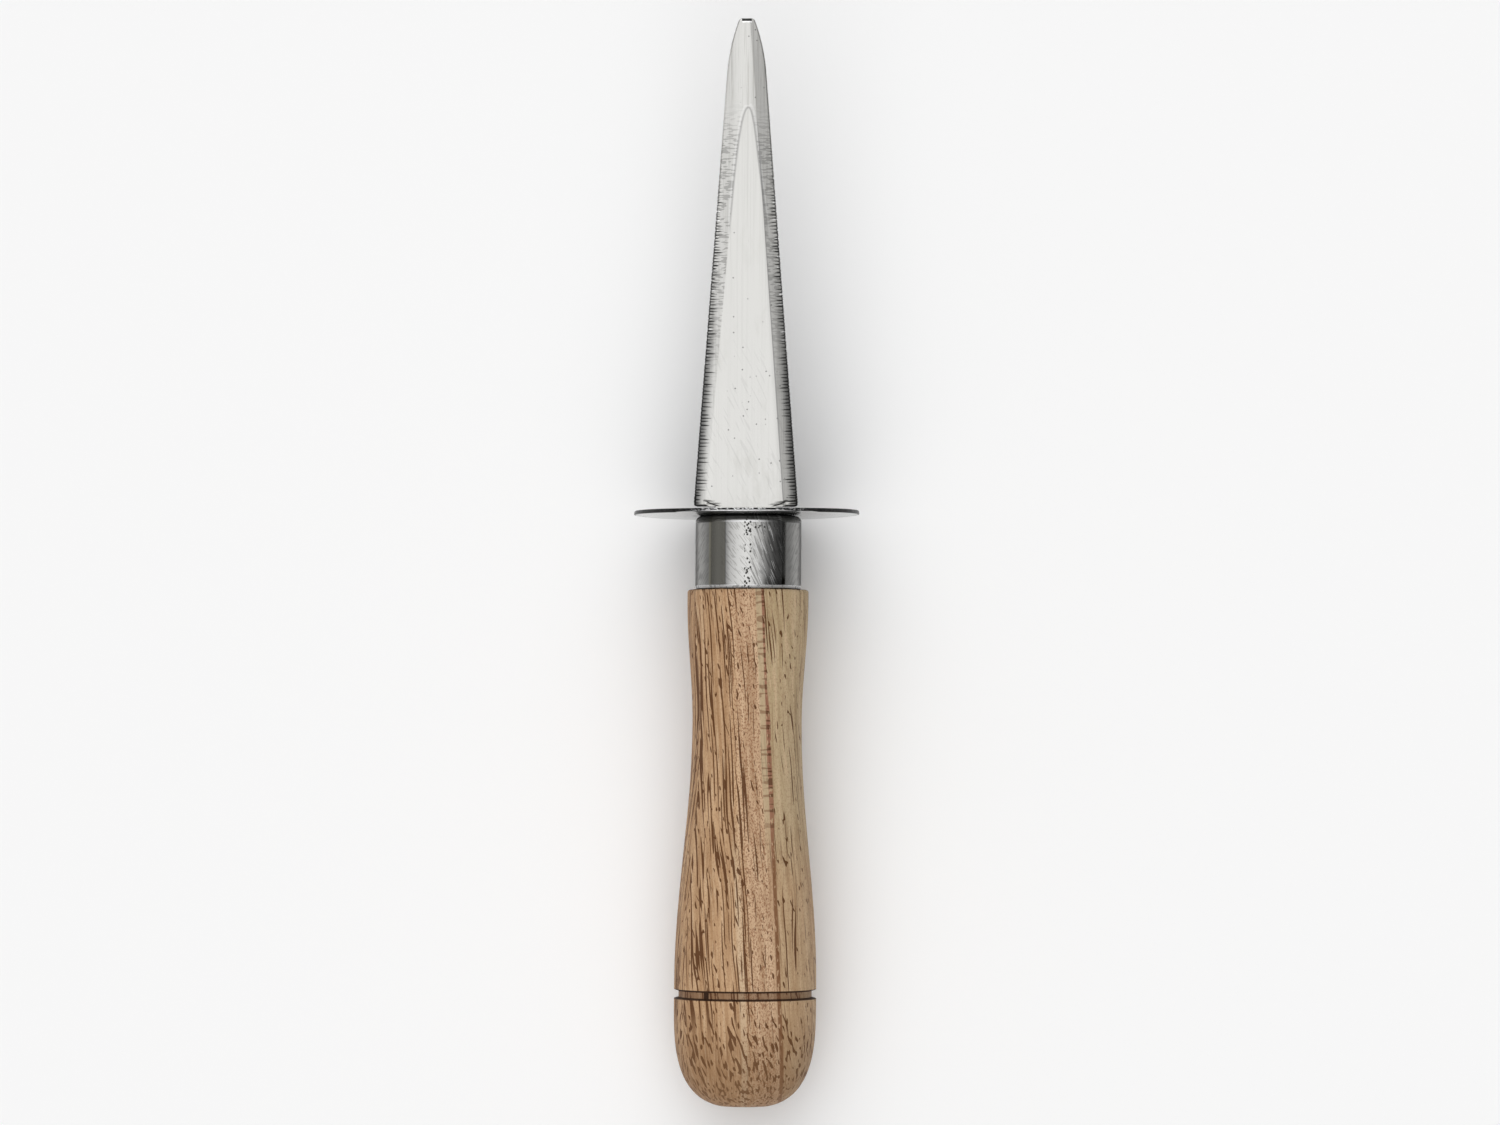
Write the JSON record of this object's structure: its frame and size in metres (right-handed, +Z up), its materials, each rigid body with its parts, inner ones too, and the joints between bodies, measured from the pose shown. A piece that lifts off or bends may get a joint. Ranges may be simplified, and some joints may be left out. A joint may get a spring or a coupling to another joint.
{
  "type": "oyster knife",
  "caption": "Oyster knife with a stiff bevelled spear blade, a round hand guard, a steel ferrule and a turned wooden handle with a groove near its rounded butt.",
  "frame": {"origin": "under the middle of the knife's bounding box, on the table that it lies on", "axes": "+X runs along the knife to the blade's tip, level with the table; +Y is to the left, seen from above with the tip ahead; +Z is up, out of the blade's upper face"},
  "size_m": [0.1928, 0.04, 0.0399],
  "materials": {
    "blade_steel": "polished flats with cross-ground bevels",
    "guard_steel": "smooth plate with a sheared rim",
    "ferrule_steel": "polished, with fine slanting scratches",
    "handle_wood": "raw light wood with brown pores, sanded",
    "tang_resin": "cured resin, hidden"
  },
  "bodies": {
    "root": {"blade": "blade_steel", "guard": "guard_steel", "ferrule": "ferrule_steel", "handle": "handle_wood", "tang_resin": "tang_resin"}
  },
  "joints": []
}
